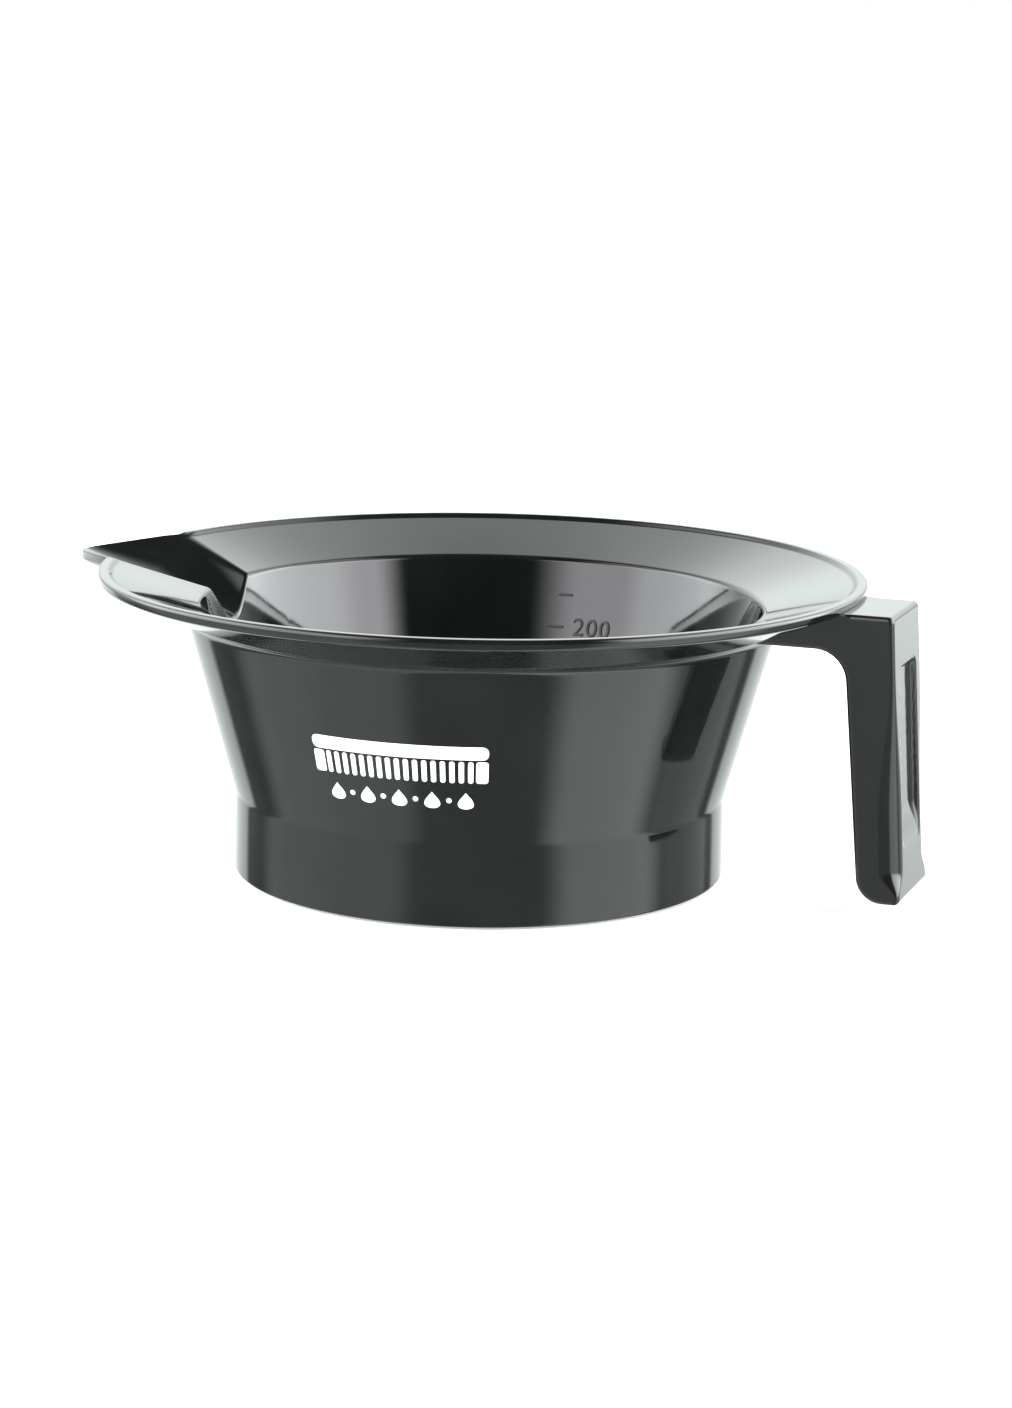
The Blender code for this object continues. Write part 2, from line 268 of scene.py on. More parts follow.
def top_height(r, angle):
    u, v = r * math.cos(angle), r * math.sin(angle)
    if not in_spout(u, angle):
        return flare_top(r)
    return smooth_min(flare_top(r), channel_top(u, v), CREASE_BLEND)


def underside_height(r, angle):
    u, v = r * math.cos(angle), r * math.sin(angle)
    if not in_spout(u, angle):
        return flare_underside(r)
    return smooth_min(flare_underside(r), channel_top(u, v) - CHANNEL_WALL, CREASE_BLEND)


def rim_radius(angle):
    if abs(angle) >= CORNER_ANGLE:
        return RIM_R
    return solve(lambda r: r * math.cos(angle) - beak_edge(r * math.sin(angle)), 60.0, 90.0)


def bead_share(angle):
    """The raised bead follows the round rim and fades out where the spout begins."""
    return smoothstep(abs(angle), CORNER_ANGLE * BEAD_END, CORNER_ANGLE * BEAD_START)


def beaded_top(r, angle, edge_r):
    """The top surface with the bead: a step up from the flare to a nearly flat land."""
    base = top_height(r, angle)
    inwards = edge_r - r
    step = 1.0 - smoothstep(inwards, LAND_WIDTH, LAND_WIDTH + BEAD_STEP)
    crown = ((inwards - LAND_WIDTH / 2) / LAND_WIDTH) ** 2 * BEAD_CROWN
    return mix(base, LAND_Z - crown, step * bead_share(angle))


# ---- one section of the bowl, from the floor's centre round the rim to the underside's centre ----

def inside_section(angle):
    """Floor, wall and the top of the flare or channel, up to where the lip rounds over."""
    edge_z = solve(lambda z: z - top_height(wall_inside(z), angle), THROAT_Z - 3, FLARE_Z + 1)
    edge = (wall_inside(edge_z), edge_z)
    floor_corner = (FLOOR_R, FLOOR_Z)
    beyond = (edge[0] + EDGE_EASE, top_height(edge[0] + EDGE_EASE, angle))
    points = straight((CENTRE_R, FLOOR_Z), towards(floor_corner, (0.0, FLOOR_Z), FLOOR_FILLET), 10)
    points += eased((0.0, FLOOR_Z), floor_corner, edge, FLOOR_FILLET, 12)
    points += straight(points[-1], towards(edge, floor_corner, EDGE_EASE), 14)[1:]
    points += rounded(towards(edge, floor_corner, EDGE_EASE), edge, beyond, 8)
    rim = rim_radius(angle)
    bead_start = rim - LAND_WIDTH - BEAD_STEP - BEAD_RUN_IN
    for i in range(1, 51):
        r = mix(beyond[0], bead_start, i / 50)
        points.append((r, top_height(r, angle)))
    for i in range(1, 17):
        r = mix(bead_start, rim - LIP_ROUND, i / 16)
        points.append((r, beaded_top(r, angle, rim)))
    return points


def lip_section(angle):
    """Round the lip's edge, from its top to its underside."""
    rim = rim_radius(angle)
    top, bottom = beaded_top(rim, angle, rim), underside_height(rim, angle)
    face_top, face_bottom = (rim, top - LIP_ROUND), (rim, bottom + LIP_UNDER_ROUND)
    inner = rim - LIP_ROUND
    points = rounded((inner, beaded_top(inner, angle, rim)), (rim, top), face_top, 7)[1:]
    points += straight(face_top, face_bottom, 3)[1:]
    inner = rim - LIP_UNDER_ROUND
    points += rounded(face_bottom, (rim, bottom), (inner, underside_height(inner, angle)), 6)
    return points


def outside_section(angle):
    """Underside of the flare or channel, neck, cone and foot."""
    neck_z = solve(lambda z: z - underside_height(cone_outside(z), angle), THROAT_Z - 8, NECK_Z + 2)
    neck = (cone_outside(neck_z), neck_z)
    crease, base = (FOOT_R, FOOT_TOP), (FOOT_BASE_R, FOOT_BOTTOM)
    start = rim_radius(angle) - LIP_UNDER_ROUND
    before = (neck[0] + NECK_EASE, underside_height(neck[0] + NECK_EASE, angle))
    points = []
    for i in range(1, 36):
        r = mix(start, before[0], i / 36)
        points.append((r, underside_height(r, angle)))
    points += rounded(before, neck, towards(neck, crease, NECK_EASE), 8)
    points += straight(towards(neck, crease, NECK_EASE), towards(crease, neck, FOOT_EASE), 16)[1:]
    points += eased(neck, crease, base, FOOT_EASE, 3)
    points += straight(towards(crease, base, FOOT_EASE), towards(base, crease, FOOT_EASE), 6)[1:]
    points += eased(crease, base, (SKIRT_R, FOOT_BOTTOM), FOOT_EASE, 4)
    return points


def hollow_section():
    """Inside of the foot and underneath of the floor, with the gate mark in its dimple."""
    inner, roof = (SKIRT_R, FOOT_BOTTOM), (SKIRT_R, UNDERSIDE_Z)
    dimple_z = UNDERSIDE_Z + DIMPLE_DEPTH
    points = eased((FOOT_BASE_R, FOOT_BOTTOM), inner, roof, SKIRT_EASE, 3)
    points += eased(inner, roof, (0.0, UNDERSIDE_Z), HOLLOW_EASE, 4)
    points += straight((SKIRT_R - 2 * HOLLOW_EASE, UNDERSIDE_Z), (DIMPLE_R + 1.0, UNDERSIDE_Z), 8)
    points += [(DIMPLE_R + DIMPLE_SLOPE, UNDERSIDE_Z), (DIMPLE_R, UNDERSIDE_Z + 0.1)]
    points += [(DIMPLE_R - DIMPLE_SLOPE, dimple_z), (GATE_R + 0.4, dimple_z)]
    points += [(GATE_R, dimple_z - 0.2), (GATE_R - GATE_SLOPE, dimple_z - GATE_HEIGHT)]
    points += [(CENTRE_R, dimple_z - GATE_HEIGHT)]
    return points


def section_angles():
    """Angles from the spout's axis, close together at the spout and wider apart round the rest."""
    end = 2 * math.pi - SPOUT_SPAN
    fine = [mix(-SPOUT_SPAN, SPOUT_SPAN, i / SPOUT_SECTIONS) for i in range(SPOUT_SECTIONS)]
    coarse = [mix(SPOUT_SPAN, end, i / ROUND_SECTIONS) for i in range(ROUND_SECTIONS)]
    return fine + coarse


def make_basin(material):
    """Basin, flare, spout and foot as one closed skin, through sections round the axis."""
    shape = bmesh.new()
    rings = []
    hollow = hollow_section()
    for angle in section_angles():
        signed = (angle + math.pi) % (2 * math.pi) - math.pi
        points = inside_section(signed) + lip_section(signed) + outside_section(signed) + hollow
        turn = Matrix.Rotation(math.pi + angle, 3, "Z")
        rings.append([shape.verts.new(turn @ Vector((r, 0.0, z)) * MM) for r, z in points])
    for ring, following in zip(rings, rings[1:] + rings[:1]):
        for a in range(len(ring) - 1):
            shape.faces.new((ring[a], ring[a + 1], following[a + 1], following[a]))
    for place in (0, -1):
        centre = shape.verts.new((0.0, 0.0, rings[0][place].co.z))
        for ring, following in zip(rings, rings[1:] + rings[:1]):
            shape.faces.new((centre, ring[place], following[place]))
    bmesh.ops.remove_doubles(shape, verts=shape.verts, dist=1e-7)
    basin = new_object("basin_moulding", finish_mesh(shape, "basin_moulding"), material,
                       replaces="bowl_shell")
    weigh_normals(basin)


# ---- the handle ----

def arc_corner(before, corner, after, radius, steps):
    """Points of the arc that rounds a corner of an outline."""
    a = (Vector(before) - Vector(corner)).normalized()
    b = (Vector(after) - Vector(corner)).normalized()
    half = a.angle(b) / 2
    centre = Vector(corner) + (a + b).normalized() * (radius / math.sin(half))
    spoke = a * (radius / math.tan(half)) + Vector(corner) - centre
    sweep = (math.pi - 2 * half) * (1 if a.x * b.y - a.y * b.x < 0 else -1)
    return [centre + Matrix.Rotation(sweep * i / steps, 2) @ spoke for i in range(steps + 1)]


def handle_outline():
    """The handle seen from its side, as (x, z) points, with its runs cut fine enough to be shaped."""
    corners = [
        # x, z, radius, steps round the corner, steps along the run that follows
        (ARM_START_X, ARM_UNDERSIDE, 0.0, 1, 20),
        (INNER_TOP_X, ARM_UNDERSIDE, ELBOW_RADIUS, 16, 60),
        (INNER_BOTTOM_X, HANDLE_BOTTOM, TOE_RADIUS, 16, 3),
        (OUTER_BOTTOM_X, HANDLE_BOTTOM, CORNER_RADIUS, 8, 150),
        (OUTER_TOP_X, HANDLE_TOP, CORNER_RADIUS, 8, 60),
        (ARM_START_X, HANDLE_TOP, 0.0, 1, 3),
    ]
    turns = []
    for i, (x, z, radius, steps, _) in enumerate(corners):
        before, after = corners[i - 1][:2], corners[(i + 1) % len(corners)][:2]
        turns.append(arc_corner(before, (x, z), after, radius, steps) if radius else [Vector((x, z))])
    points = []
    for i, turn in enumerate(turns):
        following = turns[(i + 1) % len(turns)][0]
        points += turn[:-1] + [Vector(p) for p in straight(turn[-1], following, corners[i][4])]
    return points


def half_width(z):
    return mix(HALF_BOTTOM, HALF_TOP, (z - HANDLE_BOTTOM) / (HANDLE_TOP - HANDLE_BOTTOM))


def edge_rounding(x, z):
    """How far the long edges are rounded: tight under the flare, softer down the grip, tight at its end."""
    if x < RIM_R + 1 and z > ARM_UNDERSIDE + 1:
        return EDGE_UNDER_RIM
    down = smoothstep(HANDLE_TOP - z, 10.0, 38.0) * smoothstep(z - HANDLE_BOTTOM, 1.5, 6.0)
    gain = EDGE_OUTER_GAIN if x > GRIP_OUTER_SIDE_X else EDGE_INNER_GAIN
    return EDGE_AT_ENDS + gain * down


def on_outer_side(x, z):
    """Whether an outline point lies on the grip's straight outer side, which carries the sunk panel."""
    up = (z - HANDLE_BOTTOM) / (HANDLE_TOP - HANDLE_BOTTOM)
    return abs(x - mix(OUTER_BOTTOM_X, OUTER_TOP_X, up)) < SIDE_TOLERANCE


def recess_depth(y, z):
    """A round-cornered panel sunk into the grip's outer face, running out at its lower end."""
    middle = (RECESS_TOP + RECESS_BOTTOM) / 2
    across = abs(y) - (RECESS_HALF_WIDTH - RECESS_CORNER)
    along = abs(z - middle) - ((RECESS_TOP - RECESS_BOTTOM) / 2 - RECESS_CORNER)
    outside = math.hypot(max(across, 0.0), max(along, 0.0)) + min(max(across, along), 0.0) - RECESS_CORNER
    depth = RECESS_DEPTH * smoothstep(z, RECESS_BOTTOM, RECESS_BOTTOM + RECESS_RUN_OUT)
    return depth * smoothstep(-outside, 0.0, RECESS_WALL)


def arm_top(x, y, z):
    """The arm's top stays just inside the flare's thickness, and level beyond the rim."""
    r = math.hypot(x, y)
    if z > ARM_UNDERSIDE + 0.2 and r < RIM_R:
        return clamp(flare_underside(r) + WELD, ARM_UNDERSIDE + 0.1, z)
    return z


def edge_turn(half, ease):
    """The quarter turn over a long edge, as (inwards, across) offsets from the flat to the side."""
    turn = []
    for i in range(TURN_STEPS + 1):
        t = math.pi / 2 * i / TURN_STEPS
        turn.append((ease * (1 - math.cos(t)), half - ease * (1 - math.sin(t))))
    return turn


def handle_row(point, inward):
    """The line of points that crosses the handle at one place on its outline."""
    x, z = point
    half, ease = half_width(z), edge_rounding(x, z)
    sunk = on_outer_side(x, z)
    turn = edge_turn(half, ease)
    offsets = [(shift, -y) for shift, y in reversed(turn)]
    for i in range(1, FLAT_STEPS):
        y = mix(-half + ease, half - ease, i / FLAT_STEPS)
        offsets.append((recess_depth(y, z) if sunk else 0.0, y))
    row = []
    for shift, y in offsets + turn:
        place = point + inward * shift
        row.append(Vector((place.x, y, arm_top(place.x, y, place.y))) * MM)
    return row


def make_handle(material):
    """Arm and grip as one closed skin, through lines that cross the outline all the way round."""
    outline = handle_outline()
    shape = bmesh.new()
    rows = []
    for i, point in enumerate(outline):
        tangent = (outline[(i + 1) % len(outline)] - outline[i - 1]).normalized()
        inward = Vector((-tangent.y, tangent.x))
        rows.append([shape.verts.new(place) for place in handle_row(point, inward)])
    for row, following in zip(rows, rows[1:] + rows[:1]):
        for a in range(len(row) - 1):
            shape.faces.new((row[a], row[a + 1], following[a + 1], following[a]))
    for end in (0, -1):
        shape.faces.new([row[end] for row in rows])
    bmesh.ops.remove_doubles(shape, verts=shape.verts, dist=2e-6)
    handle = new_object("side_handle", finish_mesh(shape, "side_handle"), material,
                        replaces="handle")
    weigh_normals(handle)


# ---- the foot ring ----

GROOVES, GROOVE_STEPS, GROOVE_DEPTH = 60, 12, 0.3
RING_WIDTH, TREAD_EASE, RING_EASE = 2.4, 0.5, 0.3


def make_foot_ring(material):
    """A rubber band pressed into the foot, with shallow grooves across its tread."""
    outer, inner, top = RING_HIGH.x, RING_HIGH.x - RING_WIDTH, RING_HIGH.z
    profile = eased((inner, 0.0), (outer, 0.0), (outer, top), TREAD_EASE, 4)
    profile += eased((outer, 0.0), (outer, top), (inner, top), RING_EASE, 3)
    profile += eased((outer, top), (inner, top), (inner, 0.0), RING_EASE, 3)
    profile += eased((inner, top), (inner, 0.0), (outer, 0.0), TREAD_EASE, 4)
    count = GROOVES * GROOVE_STEPS
    shape = bmesh.new()
    rings = []
    for i in range(count):
        share = (i % GROOVE_STEPS) / GROOVE_STEPS
        groove = GROOVE_DEPTH * smoothstep(abs(share - 0.5), 0.32, 0.42)
        turn = Matrix.Rotation(2 * math.pi * i / count, 3, "Z")
        rings.append([shape.verts.new(turn @ Vector((r, 0.0, max(z, groove))) * MM) for r, z in profile])
    for ring, following in zip(rings, rings[1:] + rings[:1]):
        for a in range(len(ring)):
            b = (a + 1) % len(ring)
            shape.faces.new((ring[a], ring[b], following[b], following[a]))
    ring = new_object("foot_ring", finish_mesh(shape, "foot_ring"), material,
                      replaces="anti_slip_ring")
    weigh_normals(ring)


# ---- flat shapes wrapped onto the bowl ----

def filled_curve(name, outlines, height, ease):
    """A mesh of flat outlines made height thick, with its upper edges eased, standing on z = 0."""
    curve = bpy.data.curves.new(name, "CURVE")
    curve.dimensions, curve.fill_mode = "2D", "BOTH"
    for outline in outlines:
        spline = curve.splines.new("POLY")
        spline.points.add(len(outline) - 1)
        for point, (x, y) in zip(spline.points, outline):
            point.co = (x, y, 0.0, 1.0)
        spline.use_cyclic_u = True
    return curve_mesh(curve, height, ease)


DIGIT_SHARE = 0.69               # height of a digit as a share of the font's size
DIGIT_SPACING, DIGIT_BOLDNESS = 1.12, 0.05


def number_mesh(text, size, height, ease):
    """A number of the measuring scale, size millimetres tall, standing on z = 0."""
    curve = bpy.data.curves.new("number", "FONT")
    curve.body = text
    curve.size = size / DIGIT_SHARE
    curve.space_character = DIGIT_SPACING
    curve.align_x, curve.align_y = "CENTER", "CENTER"
    curve.offset = DIGIT_BOLDNESS
    return curve_mesh(curve, height, ease)


def curve_mesh(curve, height, ease):
    """A flat curve's solid, height thick, without growing past its outline."""
    curve.extrude = height / 2 - ease
    curve.bevel_depth = ease
    curve.bevel_resolution = 1
    curve.offset -= ease
    item = bpy.data.objects.new("outline", curve)
    bpy.context.scene.collection.objects.link(item)
    bpy.context.view_layer.update()
    mesh = bpy.data.meshes.new_from_object(item.evaluated_get(bpy.context.evaluated_depsgraph_get()))
    bpy.data.objects.remove(item)
    mesh.transform(Matrix.Translation((0.0, 0.0, height / 2)))
    return mesh


def wrap(mesh, place, strip=0.6):
    """The mesh cut into narrow strips and laid on a surface by place(x, y, height)."""
    shape = bmesh.new()
    shape.from_mesh(mesh)
    bmesh.ops.remove_doubles(shape, verts=shape.verts, dist=1e-4)
    low = min(v.co.x for v in shape.verts)
    high = max(v.co.x for v in shape.verts)
    cuts = int((high - low) / strip)
    for i in range(1, cuts + 1):
        parts = shape.verts[:] + shape.edges[:] + shape.faces[:]
        bmesh.ops.bisect_plane(shape, geom=parts, plane_co=(low + i * strip, 0, 0), plane_no=(1, 0, 0))
    for vertex in shape.verts:
        vertex.co = Vector(place(*vertex.co)) * MM
    return shape


def join_shapes(name, shapes):
    """One mesh from several wrapped shapes."""
    whole = bmesh.new()
    for shape in shapes:
        part = bpy.data.meshes.new("part")
        shape.to_mesh(part)
        shape.free()
        whole.from_mesh(part)
        bpy.data.meshes.remove(part)
    mesh = finish_mesh(whole, name)
    mesh.set_sharp_from_angle(angle=math.radians(40))
    return mesh


def on_inner_wall(azimuth, level):
    """Places flat shapes on the basin's wall, read from inside the bowl."""
    lean = math.atan2(FLARE_R - FLOOR_R, FLARE_Z - FLOOR_Z)

    def place(x, y, height):
        z = level + y * math.cos(lean)
        r = wall_inside(z) - (height - RELIEF_SUNK) * math.cos(lean)
        angle = math.radians(azimuth) - x / wall_inside(level)
        return r * math.cos(angle), r * math.sin(angle), z + height * math.sin(lean)
    return place


def on_cone(azimuth, level):
    """Places flat shapes on the outside of the cone, read from outside."""
    lean = math.atan2(NECK_R - FOOT_R, NECK_Z - FOOT_TOP)

    def place(x, y, height):
        z = level + y * math.cos(lean)
        r = cone_outside(z) + (height - INK_SUNK) * math.cos(lean)
        angle = math.radians(azimuth) + x / cone_outside(level)
        return r * math.cos(angle), r * math.sin(angle), z - height * math.sin(lean)
    return place


def bar(width, height, radius, centre=(0.0, 0.0)):
    """Outline of a rectangle with rounded corners."""
    w, h, points = width / 2, height / 2, []
    corners = [(-w, -h), (w, -h), (w, h), (-w, h)]
    for i, corner in enumerate(corners):
        for p in arc_corner(corners[i - 1], corner, corners[(i + 1) % 4], radius, 5):
            points.append((p.x + centre[0], p.y + centre[1]))
    return points


# ---- the measuring scale inside ----

NUMBERED_DASH, PLAIN_DASH = (3.8, 92.6), (3.2, 90.6)     # length, and azimuth of the middle
DASH_HEIGHT, DASH_CORNER = 0.55, 0.25
NUMBER_AZIMUTH, NUMBER_HEIGHT = 83.3, 3.5
RELIEF, RELIEF_SUNK = 0.3, 0.05  # thickness of the marks, and how much of it is in the wall
DASH_EASE, NUMBER_EASE = 0.08, 0.07
FILLET_LOSS = 2.0                # millilitres that the floor's rounded corner takes up


def level_of(millilitres):
    """Height at which the basin holds that much."""
    def surplus(z):
        rise, r = z - FLOOR_Z, wall_inside(z)
        volume = math.pi / 3 * rise * (FLOOR_R ** 2 + FLOOR_R * r + r ** 2) / 1000
        return volume - FILLET_LOSS - millilitres
    return solve(surplus, FLOOR_Z, FLARE_Z)


def make_scale(material):
    shapes = []
    for volume in (50, 100, 150, 200, 250):
        numbered = volume % 100 == 0
        level = level_of(volume)
        length, azimuth = NUMBERED_DASH if numbered else PLAIN_DASH
        dash = filled_curve("dash", [bar(length, DASH_HEIGHT, DASH_CORNER)], RELIEF, DASH_EASE)
        shapes.append(wrap(dash, on_inner_wall(azimuth, level)))
        if numbered:
            number = number_mesh(str(volume), NUMBER_HEIGHT, RELIEF, NUMBER_EASE)
            shapes.append(wrap(number, on_inner_wall(NUMBER_AZIMUTH, level)))
    new_object("measuring_scale", join_shapes("measuring_scale", shapes), material)


# ---- the print on the front: a comb over a row of drops and dots ----

PRINT_AZIMUTH = -87.2
COMB_LEVEL, DROPS_LEVEL = 31.1, 24.2
COMB_LENGTH, COMB_HEIGHT = 33.0, 7.2
BACK_SHARE, BACK_CORNER = 0.36, 1.1      # the comb's back, as a share of its height
TEETH, TOOTH_WIDTH, TOOTH_CORNER = 17, 0.95, 0.4
END_WIDTH, END_CORNER = 2.2, 0.5         # the two broad end teeth
TEETH_GAP = 0.35                         # clear line between the back and the teeth
DROPS, DROP_PITCH, DROP_SIZE, DOT_RADIUS = 5, 6.0, 3.3, 0.5
INK, INK_SUNK, INK_EASE = 0.06, 0.03, 0.015


def comb_outlines():
    """A comb's back, and its teeth under a narrow gap, as separate shapes."""
    back_height = COMB_HEIGHT * BACK_SHARE
    tooth_height = COMB_HEIGHT - back_height - TEETH_GAP
    low = -back_height / 2 - TEETH_GAP / 2
    outlines = [bar(COMB_LENGTH, back_height, BACK_CORNER, (0.0, (COMB_HEIGHT - back_height) / 2))]
    for side in (-1, 1):
        x = side * (COMB_LENGTH - END_WIDTH) / 2
        outlines.append(bar(END_WIDTH, tooth_height, END_CORNER, (x, low)))
    inner = COMB_LENGTH / 2 - END_WIDTH - TOOTH_WIDTH
    for i in range(TEETH):
        x = mix(-inner, inner, i / (TEETH - 1))
        outlines.append(bar(TOOTH_WIDTH, tooth_height, TOOTH_CORNER, (x, low)))
    return outlines


def drop_outline(x, size):
    """A drop with its point up, size tall."""
    points = []
    for i in range(28):
        t = 2 * math.pi * i / 28
        points.append((x + size * 0.62 * math.sin(t) * math.sin(t / 2) ** 1.5, size * 0.5 * math.cos(t)))
    return points


def disc_outline(x, radius):
    turns = [2 * math.pi * i / 20 for i in range(20)]
    return [(x + radius * math.cos(t), radius * math.sin(t)) for t in turns]


def drops_outlines():
    """A row of drops with a dot between each two."""
    outlines = []
    for i in range(DROPS):
        x = (i - (DROPS - 1) / 2) * DROP_PITCH
        outlines.append(drop_outline(x, DROP_SIZE))
        if i < DROPS - 1:
            outlines.append(disc_outline(x + DROP_PITCH / 2, DOT_RADIUS))
    return outlines


def make_print(material):
    shapes = []
    for outlines, level in ((comb_outlines(), COMB_LEVEL), (drops_outlines(), DROPS_LEVEL)):
        for outline in outlines:
            ink = filled_curve("ink", [outline], INK, INK_EASE)
            shapes.append(wrap(ink, on_cone(PRINT_AZIMUTH, level)))
    new_object("front_print", join_shapes("front_print", shapes), material)


# ---- materials ----

# The dark and the light end of each material's colour.
MOULDED_TONES = ((0.0035, 0.0045, 0.004), (0.0055, 0.007, 0.0062))
HANDLE_TONES = ((0.005, 0.0055, 0.0055), (0.008, 0.0085, 0.0085))
RELIEF_TONES = ((0.014, 0.016, 0.016), (0.03, 0.033, 0.032))
RUBBER_TONES = ((0.014, 0.014, 0.014), (0.05, 0.05, 0.048))
INK_TONES = ((0.80, 0.82, 0.82), (0.93, 0.94, 0.94))
PAPER_TONES = ((0.9, 0.9, 0.9), (0.93, 0.93, 0.93))

MOULDED_ROUGHNESS, MOULDED_WEAR = 0.055, 0.05
HANDLE_ROUGHNESS, HANDLE_WEAR = 0.075, 0.06
SCRATCH_STRETCH = (2600.0, 60.0, 60.0)               # noise drawn out into hairlines
SCRATCH_TURNS = ((0.3, 0.2, 0.5), (1.1, 0.7, 2.0))
SCRATCH_ROUGHNESS = 0.10


class Nodes:
    """Short names for building a material's node tree."""

    def __init__(self, tree):
        self.tree = tree

    def add(self, kind, **values):
        node = self.tree.nodes.new(kind)
        for key, value in values.items():
            setattr(node, key, value)
        return node

    def link(self, output, target):
        self.tree.links.new(output, target)

    def noise(self, vector, scale, detail=2.0, roughness=0.5):
        node = self.add("ShaderNodeTexNoise")
        node.inputs["Scale"].default_value = scale
        node.inputs["Detail"].default_value = detail
        node.inputs["Roughness"].default_value = roughness
        self.link(vector, node.inputs["Vector"])
        return node.outputs["Fac"]

    def stretched(self, vector, scale, turn):
        node = self.add("ShaderNodeMapping")
        node.inputs["Scale"].default_value = scale
        node.inputs["Rotation"].default_value = turn
        self.link(vector, node.inputs["Vector"])
        return node.outputs["Vector"]

    def ranged(self, value, low, high, to_low, to_high, smooth=False):
        node = self.add("ShaderNodeMapRange", interpolation_type="SMOOTHSTEP" if smooth else "LINEAR")
        for place, number in enumerate((low, high, to_low, to_high), start=1):
            node.inputs[place].default_value = number
        self.link(value, node.inputs[0])
        return node.outputs[0]

    def maths(self, operation, first, second=None):
        node = self.add("ShaderNodeMath", operation=operation)
        for place, value in enumerate((first, second)):
            if value is None:
                continue
            if isinstance(value, (int, float)):
                node.inputs[place].default_value = value
            else:
                self.link(value, node.inputs[place])
        return node.outputs[0]

    def two_tones(self, factor, dark, light):
        node = self.add("ShaderNodeMix", data_type="RGBA")
        node.inputs["A"].default_value = (*dark, 1.0)
        node.inputs["B"].default_value = (*light, 1.0)
        self.link(factor, node.inputs["Factor"])
        return node.outputs["Result"]

    def sum(self, first, second):
        """Two colours added; either may be a plain tuple."""
        node = self.add("ShaderNodeVectorMath", operation="ADD")
        for place, value in enumerate((first, second)):
            if isinstance(value, tuple):
                node.inputs[place].default_value = value
            else:
                self.link(value, node.inputs[place])
        return node.outputs[0]

    def bump(self, height, strength, distance, normal=None):
        node = self.add("ShaderNodeBump")
        node.inputs["Strength"].default_value = strength
        node.inputs["Distance"].default_value = distance
        self.link(height, node.inputs["Height"])
        if normal:
            self.link(normal, node.inputs["Normal"])
        return node.outputs["Normal"]


def new_material(name):
    """A material with its node helper, its shader and the object coordinates, which are in metres."""
    material = bpy.data.materials.new(name)
    material.use_nodes = True
    nodes = Nodes(material.node_tree)
    shader = material.node_tree.nodes["Principled BSDF"]
    coordinates = nodes.add("ShaderNodeTexCoord").outputs["Object"]
    return material, nodes, shader, coordinates


def gloss_plastic(name, tones, roughness, wear):
    """Polished injection-moulded plastic: faint clouding, orange peel, and hairline scratches from use."""
    material, nodes, shader, at = new_material(name)
    cloud = nodes.ranged(nodes.noise(at, 70.0, 3.0), 0.35, 0.65, 0.0, 1.0)
    nodes.link(nodes.two_tones(cloud, *tones), shader.inputs["Base Color"])
    streaks = []
    for turn in SCRATCH_TURNS:
        lines = nodes.noise(nodes.stretched(at, SCRATCH_STRETCH, turn), 1.0, 1.0)
        streaks.append(nodes.ranged(lines, 0.70, 0.78, 0.0, 1.0, smooth=True))
    patches = nodes.ranged(nodes.noise(at, 26.0, 2.0), 0.45, 0.7, 0.0, 1.0)
    scratched = nodes.maths("MULTIPLY", nodes.maths("MAXIMUM", *streaks), patches)
    pointed = nodes.add("ShaderNodeNewGeometry").outputs["Pointiness"]
    edges = nodes.ranged(pointed, 0.52, 0.6, 0.0, wear)
    haze = nodes.ranged(nodes.noise(at, 160.0, 3.0), 0.3, 0.7, roughness * 0.8, roughness * 1.25)
    rough = nodes.maths("ADD", haze, nodes.maths("MULTIPLY", scratched, SCRATCH_ROUGHNESS))
    nodes.link(nodes.maths("ADD", rough, edges), shader.inputs["Roughness"])
    peel = nodes.bump(nodes.noise(at, 420.0, 1.0), 0.12, 0.00002)
    flow = nodes.bump(nodes.noise(at, 45.0, 1.0), 0.25, 0.00006, peel)
    nodes.link(flow, shader.inputs["Normal"])
    shader.inputs["IOR"].default_value = 1.5
    return material


def satin_relief(name):
    """Fine spark-eroded texture on the raised marks."""
    material, nodes, shader, at = new_material(name)
    grain = nodes.noise(at, 5200.0, 2.0)
    nodes.link(nodes.two_tones(grain, *RELIEF_TONES), shader.inputs["Base Color"])
    nodes.link(nodes.ranged(grain, 0.3, 0.7, 0.42, 0.6), shader.inputs["Roughness"])
    nodes.link(nodes.bump(grain, 0.35, 0.00003), shader.inputs["Normal"])
    return material


def ring_rubber(name):
    """Matt rubber with a fine grain and a little dust in it."""
    material, nodes, shader, at = new_material(name)
    dust = nodes.ranged(nodes.noise(at, 900.0, 4.0, 0.7), 0.55, 0.8, 0.0, 1.0)
    nodes.link(nodes.two_tones(dust, *RUBBER_TONES), shader.inputs["Base Color"])
    nodes.link(nodes.ranged(nodes.noise(at, 300.0), 0.3, 0.7, 0.7, 0.9), shader.inputs["Roughness"])
    nodes.link(nodes.bump(nodes.noise(at, 2600.0, 2.0), 0.5, 0.00004), shader.inputs["Normal"])
    return material


def printed_ink(name):
    """White pad-printed ink: slightly uneven cover and a satin skin."""
    material, nodes, shader, at = new_material(name)
    cover = nodes.ranged(nodes.noise(at, 1800.0, 3.0, 0.6), 0.3, 0.6, 0.0, 1.0)
    nodes.link(nodes.two_tones(cover, *INK_TONES), shader.inputs["Base Color"])
    nodes.link(nodes.ranged(cover, 0.0, 1.0, 0.42, 0.30), shader.inputs["Roughness"])
    nodes.link(nodes.bump(nodes.noise(at, 3000.0, 2.0), 0.2, 0.00001), shader.inputs["Normal"])
    return material


# ---- the studio ----

